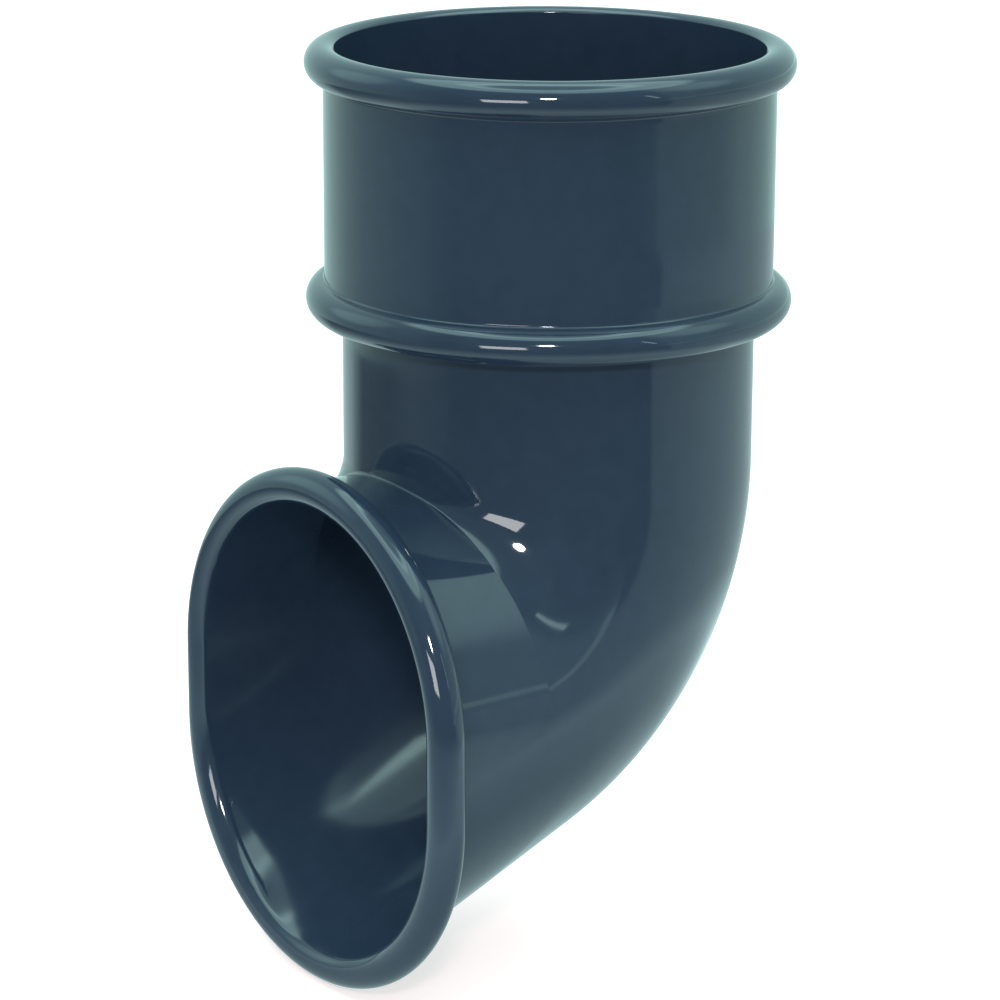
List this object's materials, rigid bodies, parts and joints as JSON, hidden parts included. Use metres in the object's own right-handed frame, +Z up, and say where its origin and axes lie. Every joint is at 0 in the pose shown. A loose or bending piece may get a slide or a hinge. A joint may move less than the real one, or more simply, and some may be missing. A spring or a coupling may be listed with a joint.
{
  "type": "downpipe shoe",
  "caption": "Round downpipe shoe moulded in one piece: a beaded socket for the downpipe's end, a short bend, and a beaded oval mouth under a hood.",
  "frame": {"origin": "on the socket's axis, at the ledge that the downpipe's end stops on", "axes": "+Z up the socket's axis, the way the downpipe leaves; the mouth faces -Y; the shoe is the same on both sides of X = 0"},
  "size_m": [0.0786, 0.0878, 0.149],
  "materials": {
    "slate_pvc": "gloss, moulded"
  },
  "bodies": {
    "root": {"downpipe_shoe": "slate_pvc"}
  },
  "joints": []
}
